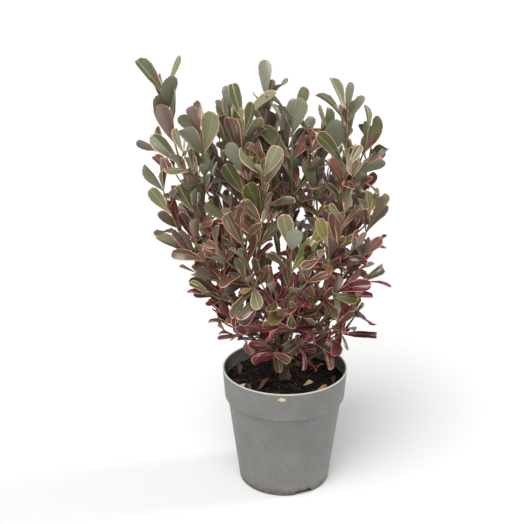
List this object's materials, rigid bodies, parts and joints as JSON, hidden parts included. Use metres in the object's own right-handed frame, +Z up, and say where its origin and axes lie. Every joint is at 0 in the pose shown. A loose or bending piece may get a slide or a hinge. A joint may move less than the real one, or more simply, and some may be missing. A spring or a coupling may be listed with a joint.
{
  "type": "potted mirror bush",
  "caption": "Mirror bush with bronze and sage leaves on upright shoots, growing in a tapered grey nursery pot filled with dark peat.",
  "frame": {"origin": "centre of the pot's flat underside, where it stands on the ground", "axes": "+Z up along the pot's axis; -Y is the pictured front, and +X is to the right in the picture"},
  "size_m": [0.2846, 0.2732, 0.5237],
  "materials": {
    "moulded_plastic": "matte grey polypropylene, injection moulded, lightly scuffed",
    "peat": "moist dark peat with fibres and fallen bits of leaf",
    "bark": "thin olive-brown bark, lightly ridged at the leaf nodes",
    "leaf_bronze": "glossy bronze-brown leaves with pink margins",
    "leaf_wine": "glossy wine-red leaves with bright pink margins",
    "leaf_sage": "satin grey-green leaves with pale pink margins"
  },
  "bodies": {
    "root": {"pot": "moulded_plastic", "soil": "peat", "trunk": "bark", "bough_tall_left": "bark", "bough_left": "bark", "bough_left_front": "bark", "bough_low_left": "bark", "bough_front_left": "bark", "bough_front": "bark", "bough_front_right": "bark", "bough_top_back_left": "bark", "bough_top_front_left": "bark", "bough_top_back": "bark", "bough_top_right": "bark", "bough_right": "bark", "bough_low_right": "bark", "bough_side_spray": "bark", "bough_back_right": "bark", "bough_back": "bark", "bough_back_left": "bark", "foliage_crown_top": "leaf_sage", "foliage_tall_left": "leaf_sage", "foliage_left": "leaf_bronze", "foliage_left_front": "leaf_bronze", "foliage_low_left": "leaf_wine", "foliage_front_left": "leaf_bronze", "foliage_front": "leaf_bronze", "foliage_front_right": "leaf_bronze", "foliage_top_back_left": "leaf_bronze", "foliage_top_front_left": "leaf_sage", "foliage_top_back": "leaf_sage", "foliage_top_right": "leaf_sage", "foliage_right": "leaf_bronze", "foliage_low_right": "leaf_bronze", "foliage_side_spray": "leaf_wine", "foliage_back_right": "leaf_bronze", "foliage_back": "leaf_bronze", "foliage_back_left": "leaf_bronze", "foliage_low_front": "leaf_wine", "foliage_low_front_right": "leaf_wine", "foliage_low_back": "leaf_wine", "foliage_low_back_left": "leaf_wine"}
  },
  "joints": []
}
